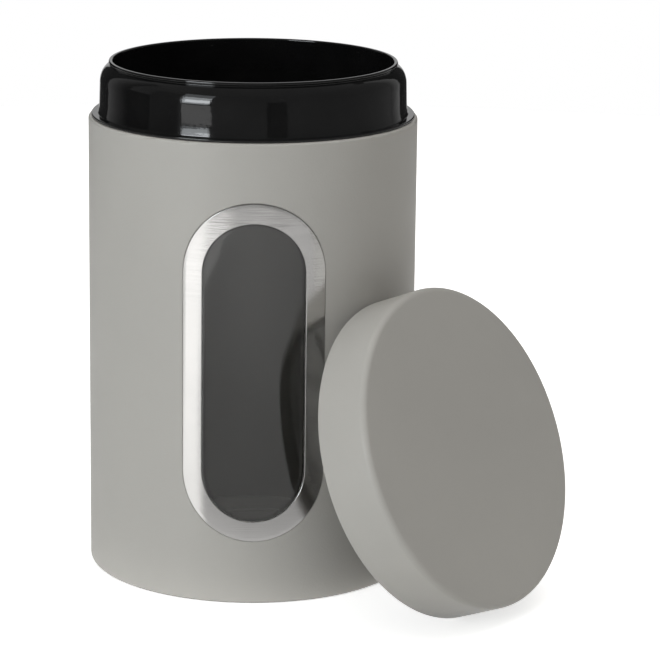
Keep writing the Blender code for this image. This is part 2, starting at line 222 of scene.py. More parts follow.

# %% [markdown]
# ## Cloth and cards round the set
# Mirrors see all of the studio. Black cloth hangs round the set, as product photographers do
# it, so that glossy black plastic has something dark to mirror, and a pale backdrop fills the
# gap behind the canister. Cards stand for what else is in a studio: the frame and the skirt of
# the softbox, a tripod, two reflectors and the walls. The skirt glows brighter than white, a
# painted reflection of the softbox's light. Two more lie on the table and hold the light and
# shade that a mirror finds there. Only mirror rays see all these, so they neither take light
# from the object nor get into the picture. A black flag is the one exception: it is never
# seen, but it shades the left edge of the wall.

# %% Cloth and cards
BLACK = (0, 0, 0, 1)
CLOTH_DISTANCE = 1.9
CLOTH_TOP = 2.2
CLOTH_FOOT = -1.4
BACKDROP_HALF_WIDTH = 14
CARD_DISTANCE = 1.6
CARD_LEVEL = 0.0003
SCREEN_STEPS = 32

card_material, tree, shader = open_material("studio cards")
fill(tree, shader, {
    "Base Color": BLACK,
    "Specular IOR Level": 0,
    "Emission Color": WHITE,
    "Emission Strength": add(tree, "ShaderNodeAttribute", attribute_name="tone").outputs["Fac"],
})


def around(azimuth, distance, height):
    """A point round the axis. Azimuth 0 is the camera's side and 90 degrees is to its right."""
    angle = math.radians(azimuth)
    away = Vector((math.sin(angle), -math.cos(angle), 0))
    return AXIS + away * distance + Vector((0, 0, height))


def card(name, lines, roof=False):
    """A card through lines (first end, last end, tone) that only mirror rays see."""
    shape = bmesh.new()
    tones = shape.verts.layers.float.new("tone")
    pairs = []
    for *ends, tone in lines:
        pairs.append([shape.verts.new(end) for end in ends])
        for corner in pairs[-1]:
            corner[tones] = tone
    for (a, b), (c, d) in zip(pairs, pairs[1:]):
        shape.faces.new((a, c, d, b))
    if roof:
        for row in zip(*pairs):
            shape.faces.new(row)
    screen = set_stage(name, shape, card_material)
    screen.visible_camera = False
    screen.visible_diffuse = False
    screen.visible_shadow = False
    screen.visible_transmission = False
    return screen


def arc_screen(name, azimuths, heights, distance, tone, last_tone=None, roof=False):
    """An upright card curved round the canister. Its tone may change from first to last."""
    last_tone = tone if last_tone is None else last_tone
    lines = []
    for step in range(SCREEN_STEPS + 1):
        share = step / SCREEN_STEPS
        azimuth = azimuths[0] + (azimuths[1] - azimuths[0]) * share
        ends = [around(azimuth, distance, height) for height in heights]
        lines.append((*ends, tone + (last_tone - tone) * share))
    return card(name, lines, roof)


def table_card(name, rows):
    """A card lying on the table, in rows (distance, first azimuth, last azimuth, tone)."""
    return card(name, [
        (around(first, distance, CARD_LEVEL), around(last, distance, CARD_LEVEL), tone)
        for distance, first, last, tone in rows
    ])


side = 180 - BACKDROP_HALF_WIDTH
arc_screen("cloth", (-side, side), (CLOTH_FOOT, CLOTH_TOP), CLOTH_DISTANCE, 0.03)
arc_screen("ceiling", (-side, side), (CLOTH_TOP, CLOTH_TOP + 0.1), CLOTH_DISTANCE, 0.2, roof=True)
arc_screen("upper wall", (-126, 126), (0.5, CLOTH_TOP), CLOTH_DISTANCE - 0.03, 0.18)
arc_screen("far wall", (-60, 126), (-0.6, 0.5), CLOTH_DISTANCE - 0.05, 0.2)
arc_screen("tripod", (9, 24), (-1.2, 0.45), CARD_DISTANCE - 0.3, 0.07)
arc_screen("softbox frame", (-82, -57), (-1.0, 1.2), CARD_DISTANCE, 0.1)
arc_screen("left reflector", (-137, -106), (-1.0, 2.0), CARD_DISTANCE, 0.27, 0.03)
arc_screen("right reflector", (122, 139), (-1.0, 1.6), CARD_DISTANCE, 0.14, 0.42)
# The skirt card glows brighter than white: a painted reflection of the softbox's light, for mirror
# rays only.
arc_screen("softbox skirt glow", (-54, -31), (-0.3, 0.0), CARD_DISTANCE, 1.5)
arc_screen("backdrop", (side, 360 - side), (-0.3, 0.62), CLOTH_DISTANCE, 0.62)
table_card("light streak", [
    (0.09, -48, -24, 1.5), (0.15, -48, -29, 1.55), (0.25, -48, -33, 1.65),
    (0.34, -48, -33.8, 1.8), (0.5, -48, -33, 2.0), (0.57, -48, -22, 2.0),
    (0.72, -48, -14, 1.8), (0.9, -48, -12, 1.6),
])
table_card("shade before the canister", [
    (0.06, -24, 56, 0.8), (0.155, -29, 56, 0.76), (0.19, -30, 56, 0.52), (0.25, -33, 56, 0.5),
    (0.35, -33.8, 44, 0.54), (0.5, -33, 40, 0.68), (0.62, -20, 40, 0.76), (0.9, -12, 40, 0.98),
])
flag = arc_screen("black flag", (-150, -82), (0.15, 1.2), CARD_DISTANCE / 2, 0)
flag.visible_glossy = False
flag.visible_diffuse = True
flag.visible_shadow = True
print(card_material.users, "screens and cards round the set")

# %% [markdown]
# ## Lamps
# A tall softbox stands to the left of the camera. Real ones are brightest in the middle, so
# three nested lamps stand for it. A broad panel hangs above, and a glowing disk under the
# canister stands for the light that a white table throws up at its foot. An area lamp needs
# power, but what matters for the picture is how bright its face looks, so the helper works out
# the power. A brightness of 1 would look plain white.

# %% Lamps
AIM_HEIGHT = 0.09
GLOW_LEVEL = 0.0005


def softbox(name, direction, distance, size, brightness, colour):
    """An area lamp that faces the canister from a direction (azimuth, rise) in degrees."""
    width, height = size
    light = bpy.data.lights.new(name, "AREA")
    light.shape = "RECTANGLE"
    light.size = width
    light.size_y = height
    light.energy = brightness * math.pi * width * height
    light.color = colour
    lamp = new_object(name, light)
    azimuth, rise = (math.radians(angle) for angle in direction)
    ahead = -math.cos(azimuth) * math.cos(rise)
    away = Vector((math.sin(azimuth) * math.cos(rise), ahead, math.sin(rise)))
    lamp.location = AXIS + Vector((0, 0, AIM_HEIGHT)) + away * distance
    lamp.rotation_euler = away.to_track_quat("Z", "Y").to_euler()
    lamp.visible_camera = False
    return lamp


softbox("key softbox", (-44, 19), 1.5, (0.58, 1.15), 1.32, (0.9, 0.955, 1.0))
softbox("softbox middle", (-43, 13), 1.48, (0.55, 0.66), 4.1, (0.92, 0.965, 1.0))
softbox("softbox hot spot", (-42, 10.5), 1.45, (0.52, 0.26), 6.6, (0.93, 0.97, 1.0))
panel = softbox("overhead panel", (0, 90), 1.4, (1.8, 1.8), 1.42, (1.0, 0.985, 0.96))
panel.visible_glossy = False
glow = softbox("table glow", (-85, 0), 0.007, (0.132, 0.132), 0.49, (1.0, 0.99, 0.97))
glow.data.shape = "DISK"
glow.location.z = GLOW_LEVEL
glow.rotation_euler = (math.pi, 0, 0)
glow.visible_glossy = False
print("lamps:", ", ".join(sorted(light.name for light in bpy.data.lights)))

# %% [markdown]
# ## Effects that several finishes share
# Real surfaces are never quite even. Three groups give the unevenness: `grain` is the fine
# pebbling of paint and moulded plastic, `clouds` is the broad soft change left by spraying,
# wiping and moulding, and `hairlines` are the thin lines of polishing and careful use.
# They put out plain values, so each finish decides how strongly it shows them.

# %% Shared groups: grain, clouds and hairlines
HAIRLINE_LEVEL = 0.78
HAIRLINE_SPAN = 0.5
HAIRLINE_EDGE = 0.08


def make_grain_group():
    tree, values, end = open_tree("grain", "ShaderNodeTree", [
        ("Place", "Vector", None),
        ("Size", "Float", 0.0005),
        ("Detail", "Float", 2.0),
    ], [("Height", "Float")])
    scale = calculate(tree, "DIVIDE", 1.0, values["Size"])
    fill(tree, end, {"Height": result(tree, "ShaderNodeTexNoise", {
        "Vector": values["Place"], "Scale": scale, "Detail": values["Detail"],
    })})
    return tree


def make_clouds_group():
    tree, values, end = open_tree("clouds", "ShaderNodeTree", [
        ("Place", "Vector", None),
        ("Size", "Float", 0.03),
        ("Low", "Float", 0.0),
        ("High", "Float", 1.0),
    ], [("Value", "Float")])
    scale = calculate(tree, "DIVIDE", 1.0, values["Size"])
    noise = result(tree, "ShaderNodeTexNoise", {
        "Vector": values["Place"], "Scale": scale, "Detail": 3.0, "Roughness": 0.5,
    })
    fill(tree, end, {"Value": result(tree, "ShaderNodeMapRange", {
        "Value": noise, "From Min": 0.3, "From Max": 0.7,
        "To Min": values["Low"], "To Max": values["High"],
    })})
    return tree


def make_hairlines_group():
    tree, values, end = open_tree("hairlines", "ShaderNodeTree", [
        ("Place", "Vector", None),
        ("Length", "Float", 0.02),
        ("Width", "Float", 0.0002),
        ("Share", "Float", 0.5),
    ], [("Height", "Float"), ("Mask", "Float")])
    along = calculate(tree, "DIVIDE", 1.0, values["Length"])
    across = calculate(tree, "DIVIDE", 1.0, values["Width"])
    place = result(tree, "ShaderNodeVectorMath", {
        0: values["Place"], 1: combine(tree, X=across, Y=across, Z=along),
    }, operation="MULTIPLY")
    noise = result(tree, "ShaderNodeTexNoise", {"Vector": place, "Scale": 1.0, "Detail": 1.0})
    limit = calculate(tree, "MULTIPLY_ADD", values["Share"], -HAIRLINE_SPAN, HAIRLINE_LEVEL)
    mask = result(tree, "ShaderNodeMapRange", {
        "Value": noise, "From Min": limit,
        "From Max": calculate(tree, "ADD", limit, HAIRLINE_EDGE),
    })
    fill(tree, end, {"Height": noise, "Mask": mask})
    return tree


GRAIN = make_grain_group()
CLOUDS = make_clouds_group()
HAIRLINES = make_hairlines_group()
print(f"shared groups: {GRAIN.name}, {CLOUDS.name}, {HAIRLINES.name}")

# %% [markdown]
# ## Small tools for finishes
# `effect` places a shared group in a material, `two_tones` lets two nearly equal colours drift
# into each other, and `bump` turns a height in metres into a tilted normal.

# %% Helpers for finishes
COLOUR_A, COLOUR_B, COLOUR_MIXED = 6, 7, 2


def object_place(tree):
    """The place on the object, in metres."""
    return add(tree, "ShaderNodeTexCoord").outputs["Object"]


def effect(tree, group, place=None, output=0, **inputs):
    """A shared group placed in a material: its first output, or the one named."""
    inputs["Place"] = object_place(tree) if place is None else place
    return add(tree, "ShaderNodeGroup", inputs, node_tree=group).outputs[output]


def two_tones(tree, size, first, second):
    """Two colours that drift into each other in clouds of a size."""
    return add(tree, "ShaderNodeMix", {
        "Factor": effect(tree, CLOUDS, Size=size),
        COLOUR_A: (*first, 1),
        COLOUR_B: (*second, 1),
    }, data_type="RGBA").outputs[COLOUR_MIXED]


def bump(tree, distance, height):
    """A normal tilted by a height, where a height of 1 is a distance in metres."""
    return result(tree, "ShaderNodeBump", {"Height": height, "Distance": distance, "Strength": 1})


# %% [markdown]
# ## Warm grey powder coat
# Wall and lid wear the same matte warm grey coat. Powder coat melts into a skin with a very
# fine orange peel, so the finish has a soft, wide sheen and no sharp reflection. Two nearly
# equal greys drift into each other, and the sheen drifts with them.

# %% Powder coat and the lacquer inside
POWDER_COAT, tree, shader = open_material("warm grey powder coat")
fill(tree, shader, {
    "Base Color": two_tones(tree, 0.045, (0.376, 0.365, 0.341), (0.394, 0.382, 0.356)),
    "Roughness": effect(tree, CLOUDS, Size=0.02, Low=0.36, High=0.41),
    "Specular IOR Level": 0.2,
    "Normal": bump(tree, 0.00004, effect(tree, GRAIN, Size=0.0007, Detail=3.0)),
})

LACQUER, tree, shader = open_material("dark inside lacquer")
fill(tree, shader, {
    "Base Color": two_tones(tree, 0.03, (0.095, 0.093, 0.087), (0.115, 0.112, 0.105)),
    "Roughness": 0.38,
    "Normal": bump(tree, 0.00003, effect(tree, GRAIN, Size=0.0012)),
})
print("paint:", POWDER_COAT.name, "and", LACQUER.name)

# %% [markdown]
# ## Plastics
# The neck comes out of a polished mould, so it is glossy, with slow waves where the wall sank
# a little as it cooled and a few hairlines from handling. The black clamp behind the window and
# the lid's pale grey liner come out of a lightly eroded mould and stay satin.

# %% Glossy and satin plastics
SCRATCH_ROUGHNESS = 0.1
DRAWN_SHARE = 0.35

GLOSS_PLASTIC, tree, shader = open_material("glossy black plastic")
wiped = effect(tree, CLOUDS, Size=0.007, Low=0.04, High=0.09)
scratched = effect(tree, HAIRLINES, output="Mask", Length=0.006, Width=0.0005, Share=0.12)
sunk = effect(tree, CLOUDS, Size=0.004)
drawn = effect(tree, HAIRLINES, Length=0.009, Width=0.0007)
fill(tree, shader, {
    "Base Color": two_tones(tree, 0.012, (0.0035, 0.0035, 0.0036), (0.0055, 0.0055, 0.0055)),
    "Roughness": calculate(tree, "MULTIPLY_ADD", scratched, SCRATCH_ROUGHNESS, wiped),
    "Normal": bump(tree, 0.000015, calculate(tree, "MULTIPLY_ADD", drawn, DRAWN_SHARE, sunk)),
})


def make_satin_plastic(name, dark, light):
    material, tree, shader = open_material(name)
    fill(tree, shader, {
        "Base Color": two_tones(tree, 0.015, dark, light),
        "Roughness": effect(tree, CLOUDS, Size=0.006, Low=0.36, High=0.46),
        "Normal": bump(tree, 0.00004, effect(tree, GRAIN, Size=0.0004, Detail=3.0)),
    })
    return material


SATIN_PLASTIC = make_satin_plastic(
    "satin black plastic", (0.012, 0.012, 0.0125), (0.018, 0.018, 0.0185),
)
LINER_PLASTIC = make_satin_plastic(
    "satin pale grey plastic", (0.48, 0.48, 0.47), (0.52, 0.52, 0.51),
)
print(f"plastics: {GLOSS_PLASTIC.name}, {SATIN_PLASTIC.name}, {LINER_PLASTIC.name}")

# %% [markdown]
# ## Steel
# The window band is stamped from bright stainless sheet. The sheet was polished in one
# direction before it was stamped, so its hairlines all run level, whichever way the band
# turns. They smear reflections up and down, as brushing does. The base is plain tinned steel,
# duller and a little cloudy from rolling.

# %% Bright band steel and tinned base steel
BAND_STEEL, tree, shader = open_material("bright stainless steel")
place = split(tree, object_place(tree))
level_run = combine(tree, X=place["Z"], Z=place["X"])
lines = effect(tree, HAIRLINES, level_run, Length=0.02, Width=0.00012)
fill(tree, shader, {
    "Base Color": two_tones(tree, 0.015, (0.49, 0.482, 0.47), (0.52, 0.512, 0.499)),
    "Metallic": 1,
    "Roughness": result(tree, "ShaderNodeMapRange", {
        "Value": lines, "To Min": 0.09, "To Max": 0.15,
    }),
    "Normal": bump(tree, 0.000012, lines),
})

TINNED_STEEL, tree, shader = open_material("tinned steel")
fill(tree, shader, {
    "Base Color": two_tones(tree, 0.008, (0.42, 0.42, 0.41), (0.5, 0.5, 0.49)),
    "Metallic": 1,
    "Roughness": effect(tree, CLOUDS, Size=0.01, Low=0.3, High=0.42),
    "Normal": bump(tree, 0.00002, effect(tree, GRAIN, Size=0.001)),
})
print("steel:", BAND_STEEL.name, "and", TINNED_STEEL.name)

# %% [markdown]
# ## Clear pane, rubber and silicone
# The pane is clear moulded plastic, almost without tint. Its polish is slightly uneven, as on
# anything that has been wiped. The gasket is dull black rubber, and the lid's ring is milky
# silicone that lets a little light into its body.

# %% Clear, rubber and silicone finishes
CLEAR_PLASTIC, tree, shader = open_material("clear plastic")
fill(tree, shader, {
    "Base Color": (0.945, 0.945, 0.925, 1),
    "Transmission Weight": 1,
    "IOR": 1.49,
    "Roughness": effect(tree, CLOUDS, Size=0.012, Low=0.01, High=0.05),
})

RUBBER, tree, shader = open_material("black rubber")
fill(tree, shader, {
    "Base Color": two_tones(tree, 0.004, (0.025, 0.025, 0.025), (0.04, 0.04, 0.04)),
    "Roughness": 0.75,
    "Normal": bump(tree, 0.00003, effect(tree, GRAIN, Size=0.0003)),
})

SILICONE, tree, shader = open_material("milky silicone")
fill(tree, shader, {
    "Base Color": two_tones(tree, 0.006, (0.58, 0.58, 0.56), (0.64, 0.64, 0.62)),
    "Roughness": 0.48,
    "Subsurface Weight": 0.35,
    "Subsurface Scale": 0.002,
    "Normal": bump(tree, 0.00002, effect(tree, GRAIN, Size=0.0008)),
})
print(f"window and ring: {CLEAR_PLASTIC.name}, {RUBBER.name}, {SILICONE.name}")

# %% [markdown]
# ## Outlines with true rounds
# Most pieces start as a closed outline of one half cut, in radius and height. `rounded` turns
# its corners into true arcs. `held` adds rows close to the ends of each straight, so that
# smooth shading stays inside the small rounds and the flats stay flat.

# %% Helpers for outlines
ARC_STEP = math.radians(11)
FEWEST_ARC_STEPS = 3
LARGEST_REACH = 0.95


def rounded(corners):
    """A closed outline through corners (u, v, fillet), each fillet made into an arc."""
    outline = []
    for index, (u, v, fillet) in enumerate(corners):
        here = Vector((u, v))
        if fillet <= 0:
            outline.append(here)
            continue
        before = Vector(corners[index - 1][:2]) - here
        after = Vector(corners[(index + 1) % len(corners)][:2]) - here
        half = before.angle(after) / 2
        longest = min(before.length, after.length) * LARGEST_REACH
        reach = min(fillet / math.tan(half), longest)
        radius = reach * math.tan(half)
        inward = (before.normalized() + after.normalized()).normalized()
        centre = here + inward * radius / math.sin(half)
        start = here + before.normalized() * reach - centre
        sweep = start.angle_signed(here + after.normalized() * reach - centre)
        steps = max(FEWEST_ARC_STEPS, round(abs(sweep) / ARC_STEP))
        for step in range(steps + 1):
            arm = start.copy()
            arm.rotate(Matrix.Rotation(-sweep * step / steps, 2))
            outline.append(centre + arm)
    return outline


def held(outline, margin=0.00035, longest=0.004):
    """The outline with rows a margin from each straight's ends, none over longest apart."""
    rows = []
    for index, here in enumerate(outline):
        there = outline[(index + 1) % len(outline)]
        length = (there - here).length
        rows.append(here)
        if length > 3 * margin:
            inner = length - 2 * margin
            count = max(1, math.ceil(inner / longest))
            for step in range(count + 1):
                rows.append(here.lerp(there, (margin + inner * step / count) / length))
    return rows


# %% [markdown]
# ## From outline to piece
# Wall, base, neck, cap, liner and sealing ring are all bodies of revolution: `turned` turns an
# outline about the axis. `baked` applies the modifiers of a piece, `finish_mesh` cleans and
# shades a mesh, and `place_piece` puts it where its solid is and lets it ride on its body.

# %% Helpers for turned shapes
TURN_STEPS = 288
POLE_WELD = 1e-7
SHARP_ANGLE = math.radians(32)


def finish_mesh(name, mesh, materials):
    """Closes poles, drops stray edges, turns faces outward, shades and makes the object."""
    shape = bmesh.new()
    shape.from_mesh(mesh)
    bmesh.ops.remove_doubles(shape, verts=shape.verts, dist=POLE_WELD)
    bmesh.ops.recalc_face_normals(shape, faces=shape.faces)
    wires = [edge for edge in shape.edges if edge.is_wire]
    bmesh.ops.delete(shape, geom=wires, context="EDGES")
    points = [point for point in shape.verts if not point.link_faces]
    bmesh.ops.delete(shape, geom=points, context="VERTS")
    loose = sum(len(edge.link_faces) != 2 for edge in shape.edges)
    if loose:
        print(name, "has", loose, "edges that do not join two faces")
    shape.to_mesh(mesh)
    shape.free()
    mesh.shade_smooth()
    mesh.set_sharp_from_angle(angle=SHARP_ANGLE)
    mesh.materials.clear()
    for material in materials:
        mesh.materials.append(material)
    return new_object(name, mesh)


def turned(name, outline, *materials):
    """A closed piece turned about the upright axis through the origin."""
    angles = np.arange(TURN_STEPS) * math.tau / TURN_STEPS
    radii, heights = np.array([tuple(point) for point in outline]).T
    points = np.stack([
        np.outer(radii, np.cos(angles)),
        np.outer(radii, np.sin(angles)),
        np.repeat(heights[:, None], TURN_STEPS, axis=1),
    ], axis=-1).reshape(-1, 3)
    row = np.arange(TURN_STEPS)
    following = (row + 1) % TURN_STEPS
    faces = []
    for level in range(len(radii)):
        low = level * TURN_STEPS
        high = (level + 1) % len(radii) * TURN_STEPS
        faces.append(np.stack([low + row, low + following, high + following, high + row], axis=1))
    mesh = bpy.data.meshes.new(name)
    mesh.from_pydata(points, [], np.concatenate(faces))
    return finish_mesh(name, mesh, materials)


def baked(source, name):
    """The source with its modifiers applied, as a plain piece. The source goes."""
    evaluated = source.evaluated_get(bpy.context.evaluated_depsgraph_get())
    mesh = bpy.data.meshes.new_from_object(evaluated)
    mesh.name = name
    materials = [material for material in mesh.materials if material]
    bpy.data.objects.remove(source)
    return finish_mesh(name, mesh, materials)


def place_piece(piece, matrix, body, slot, *nodes):
    """Puts the mesh in place, lets it ride on its body and stand for its solid."""
    piece.data.transform(matrix)
    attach(piece, body)
    if nodes:
        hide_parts(*nodes)
    print(piece.name, "rides on", body, "with", len(piece.data.polygons), "faces")
    return piece


ON_CANISTER = Matrix.Translation(AXIS)

# %% [markdown]
# ## Everything that follows the window
# Band, pane, gasket, clamp and the hole itself share one rule: a cross-section is swept along
# an upright outline with round ends, and the result is bent round the wall, as the real parts
# are stamped or moulded to its curve. That is work for Geometry Nodes. The tree below draws
# the outline from two arcs, sweeps the section that it is given, and bends what it has made.
# In the section, x is how far a point lies outside the outline and y is its distance from the
# canister's axis.

# %% Geometry Nodes: sweep along the window and bend round the wall
BODY_RADIUS = (wall_high.x - wall_low.x) / 2
WINDOW_HEIGHT = 0.0777
WINDOW_STRAIGHT = 0.0653
END_STEPS = 64
SEAM_WELD = 4e-6


def make_window_tree():
    tree, values, end = open_tree("window sweep and bend", "GeometryNodeTree", [
        ("Section", "Geometry", None),
        ("Half width", "Float", None),
        ("Straight", "Float", WINDOW_STRAIGHT),
        ("Height", "Float", WINDOW_HEIGHT),
        ("Wall radius", "Float", BODY_RADIUS),
        ("End steps", "Int", END_STEPS),
        ("Finish", "Material", None),
    ], [("Piece", "Geometry")])
    half_straight = calculate(tree, "MULTIPLY", values["Straight"], 0.5)
    arcs = add(tree, "GeometryNodeJoinGeometry")
    for start, side in ((math.pi, -1), (0.0, 1)):
        arc = result(tree, "GeometryNodeCurveArc", {
            "Resolution": values["End steps"], "Radius": values["Half width"],
            "Start Angle": start, "Sweep Angle": math.pi,
        })
        shift = combine(tree, Y=calculate(tree, "MULTIPLY", half_straight, side))
        moved = result(tree, "GeometryNodeTransform", {"Geometry": arc, "Translation": shift})
        fill(tree, arcs, {"Geometry": moved})
    points = result(tree, "GeometryNodeCurveToPoints", {"Curve": arcs.outputs[0]}, mode="EVALUATED")
    outline = result(tree, "GeometryNodePointsToCurves", {"Points": points})
    closed = result(tree, "GeometryNodeSetSplineCyclic", {"Geometry": outline, "Cyclic": True})
    upright = result(tree, "GeometryNodeSetCurveNormal", {"Curve": closed}, mode="Z_UP")
    section = result(tree, "GeometryNodeMeshToCurve", {"Mesh": values["Section"]})
    swept = result(tree, "GeometryNodeCurveToMesh", {"Curve": upright, "Profile Curve": section})
    across, up, depth = split(tree, result(tree, "GeometryNodeInputPosition"))
    distance = calculate(tree, "MULTIPLY", depth, -1.0)
    angle = calculate(tree, "DIVIDE", across, values["Wall radius"])
    bent = combine(
        tree,
        X=calculate(tree, "MULTIPLY", distance, calculate(tree, "SINE", angle)),
        Y=calculate(tree, "MULTIPLY", depth, calculate(tree, "COSINE", angle)),
        Z=calculate(tree, "ADD", up, values["Height"]),
    )
    wrapped = result(tree, "GeometryNodeSetPosition", {"Geometry": swept, "Position": bent})
    welded = result(tree, "GeometryNodeMergeByDistance", {
        "Geometry": wrapped, "Distance": SEAM_WELD,
    })
    real = result(tree, "GeometryNodeRealizeInstances", {"Geometry": welded})
    fill(tree, end, {"Piece": result(tree, "GeometryNodeSetMaterial", {
        "Geometry": real, "Material": values["Finish"],
    })})
    return tree


WINDOW_TREE = make_window_tree()


def set_input(modifier, name, value):
    """Sets one named input of a Geometry Nodes modifier."""
    for item in modifier.node_group.interface.items_tree:
        if item.item_type == "SOCKET" and item.in_out == "INPUT" and item.name == name:
            modifier[item.identifier] = value


def window_piece(name, section, material, half_width):
    """A piece swept along the window from a section of (half width, distance from the axis).

    A section that starts and ends on the middle line stays open there: its two sides meet.
    """
    mesh = bpy.data.meshes.new(name)
    points = [(u - half_width, radius, 0) for u, radius in section]
    closing = 1 if section[0][0] > 0 or section[-1][0] > 0 else 0
    edges = [(index, (index + 1) % len(points)) for index in range(len(points) - 1 + closing)]
    mesh.from_pydata(points, edges, [])
    source = new_object(name + "_section", mesh)
    modifier = source.modifiers.new("window", "NODES")
    modifier.node_group = WINDOW_TREE
    set_input(modifier, "Half width", half_width)
    set_input(modifier, "Finish", material)
    return baked(source, name)


print("window tree with", len(WINDOW_TREE.nodes), "nodes")

# %% [markdown]
# ## The wall
# The wall is a tube of thin sheet with its top and foot turned in. Its outline is turned about
# the axis, and the hole for the window is cut through it with a Boolean, the way the blank is
# punched. A second Boolean sinks a shallow seat round the hole, so that the band lies almost
# flush in the paint. The outside is powder coated, the inside only has its dark lacquer. Some
# faces on the seat's sides also pass the inside tests, where they face down or slightly inward,
# and take the dark lacquer: a painted line of shade along the band's edge.

# %% Canister wall
FIT = 0.0003
BODY_HEIGHT = wall_high.z
BODY_SHEET = 0.0006
BODY_TOP_ROUND = 0.0009
BODY_FOOT_ROUND = 0.0012
BODY_EDGE = 0.00015
FOOT_WIDTH = 0.0032
NECK_RADIUS = BODY_RADIUS - 0.0035
SKIRT_RADIUS = NECK_RADIUS - 0.0006
BODY_INSIDE = BODY_RADIUS - BODY_SHEET
HOLE_HALF_WIDTH = 0.0178
SEAT_HALF_WIDTH = 0.0237
SEAT_DEPTH = 0.00045
SEAT_FLARE = 0.0002
PUNCH_REACH = 0.004
PUNCH_STEPS = 8
FACING_DOWN = -0.5

opening = SKIRT_RADIUS + FIT
blank = turned("wall_blank", held(rounded([
    (BODY_RADIUS, 0, BODY_FOOT_ROUND),
    (BODY_RADIUS, BODY_HEIGHT, BODY_TOP_ROUND),
    (opening, BODY_HEIGHT, BODY_EDGE),
    (opening, BODY_HEIGHT - BODY_SHEET, BODY_EDGE),
    (BODY_INSIDE, BODY_HEIGHT - BODY_SHEET, BODY_TOP_ROUND - BODY_SHEET),
    (BODY_INSIDE, BODY_SHEET, BODY_FOOT_ROUND - BODY_SHEET),
    (BODY_RADIUS - FOOT_WIDTH, BODY_SHEET, BODY_EDGE),
    (BODY_RADIUS - FOOT_WIDTH, 0, BODY_EDGE),
])), POWDER_COAT, LACQUER)


def punch(name, half_width, low, flare=0):
    """A window-shaped block, from outside down to a distance from the axis, is taken out."""
    shares = [step / PUNCH_STEPS for step in range(PUNCH_STEPS + 1)]
    section = [((half_width + flare) * share, BODY_RADIUS + PUNCH_REACH) for share in shares]
    if flare:
        section += [(half_width + flare, BODY_RADIUS), (half_width, BODY_RADIUS - flare)]
    section += [(half_width * share, low) for share in reversed(shares)]
    tool = window_piece(name, section, POWDER_COAT, half_width)
    cut = blank.modifiers.new(name, "BOOLEAN")
    cut.object = tool
    cut.operation = "DIFFERENCE"
    cut.solver = "EXACT"
    return tool


tools = [
    punch("window_hole", HOLE_HALF_WIDTH, BODY_RADIUS - PUNCH_REACH),
    punch("window_seat", SEAT_HALF_WIDTH, BODY_RADIUS - SEAT_DEPTH, SEAT_FLARE),
]
wall = baked(blank, "canister_wall")
for tool in tools:
    bpy.data.objects.remove(tool)
# Seat sides that face down or slightly inward count as inside here and get the dark lacquer:
# painted shade along the band's edge.
for face in wall.data.polygons:
    x, y, z = face.center
    inside = math.hypot(x, y) < BODY_RADIUS - BODY_SHEET / 2 and z > BODY_SHEET / 2
    inward = face.normal.x * x + face.normal.y * y < 0
    lacquer_and_seat_shade = inside and (inward or face.normal.z < FACING_DOWN)
    face.material_index = 1 if lacquer_and_seat_shade else 0
place_piece(wall, ON_CANISTER, "canister", "grey_paint", "body_shell")

# %% [markdown]
# ## The base
# The base is a pressed disc seated just above the foot. Its rim is turned down, and a shallow
# ring-shaped bead stops the thin sheet from drumming. The smallest edge rounds are shared by
# many pieces: a crisp one is named here, and a fine and a soft one follow with the neck.

# %% Canister base
CRISP = 0.0001
BASE_SHEET = 0.0006
BASE_SKIRT = 0.0028
BEAD_INSET = 0.013
BEAD_WIDTH = 0.006
BEAD_RISE = 0.0009
BEAD_ROUND = 0.0008
FACING_UP = 0.2

rim_outside = BODY_INSIDE - FIT
rim_foot = BODY_SHEET + FIT
base_top = rim_foot + BASE_SKIRT
bead_outside = rim_outside - BEAD_INSET
bead_inside = bead_outside - BEAD_WIDTH


def bead(level):
    """The four corners of the bead, from inside out, on a face of the base."""
    return [
        (bead_inside, level, BEAD_ROUND),
        (bead_inside + BEAD_RISE, level + BEAD_RISE, BEAD_ROUND),
        (bead_outside - BEAD_RISE, level + BEAD_RISE, BEAD_ROUND),
        (bead_outside, level, BEAD_ROUND),
    ]


base = turned("canister_base", held(rounded([
    (0, base_top, 0),
    *bead(base_top),
    (rim_outside, base_top, 2 * BASE_SHEET),
    (rim_outside, rim_foot, CRISP),
    (rim_outside - BASE_SHEET, rim_foot, CRISP),
    (rim_outside - BASE_SHEET, base_top - BASE_SHEET, BASE_SHEET),
    *reversed(bead(base_top - BASE_SHEET)),
    (0, base_top - BASE_SHEET, 0),
])), TINNED_STEEL, LACQUER)
for face in base.data.polygons:
    face.material_index = 1 if face.normal.z > FACING_UP else 0
place_piece(base, ON_CANISTER, "canister", "base_metal", "base_plate")

# %% [markdown]
# ## The neck
# The neck is one moulding. A thin flange rests on the wall's rim, a skirt with a snap bead
# clips inside it, and the tall wall above flares a little at its foot and rounds over into a
# shoulder with a narrow raised lip. The shoulder is two arcs, a soft one and a tighter one that
# ends steeply at the foot of the lip, so it never lies flat. That keeps the top dark and
# stretches the softbox into a bright patch below it.

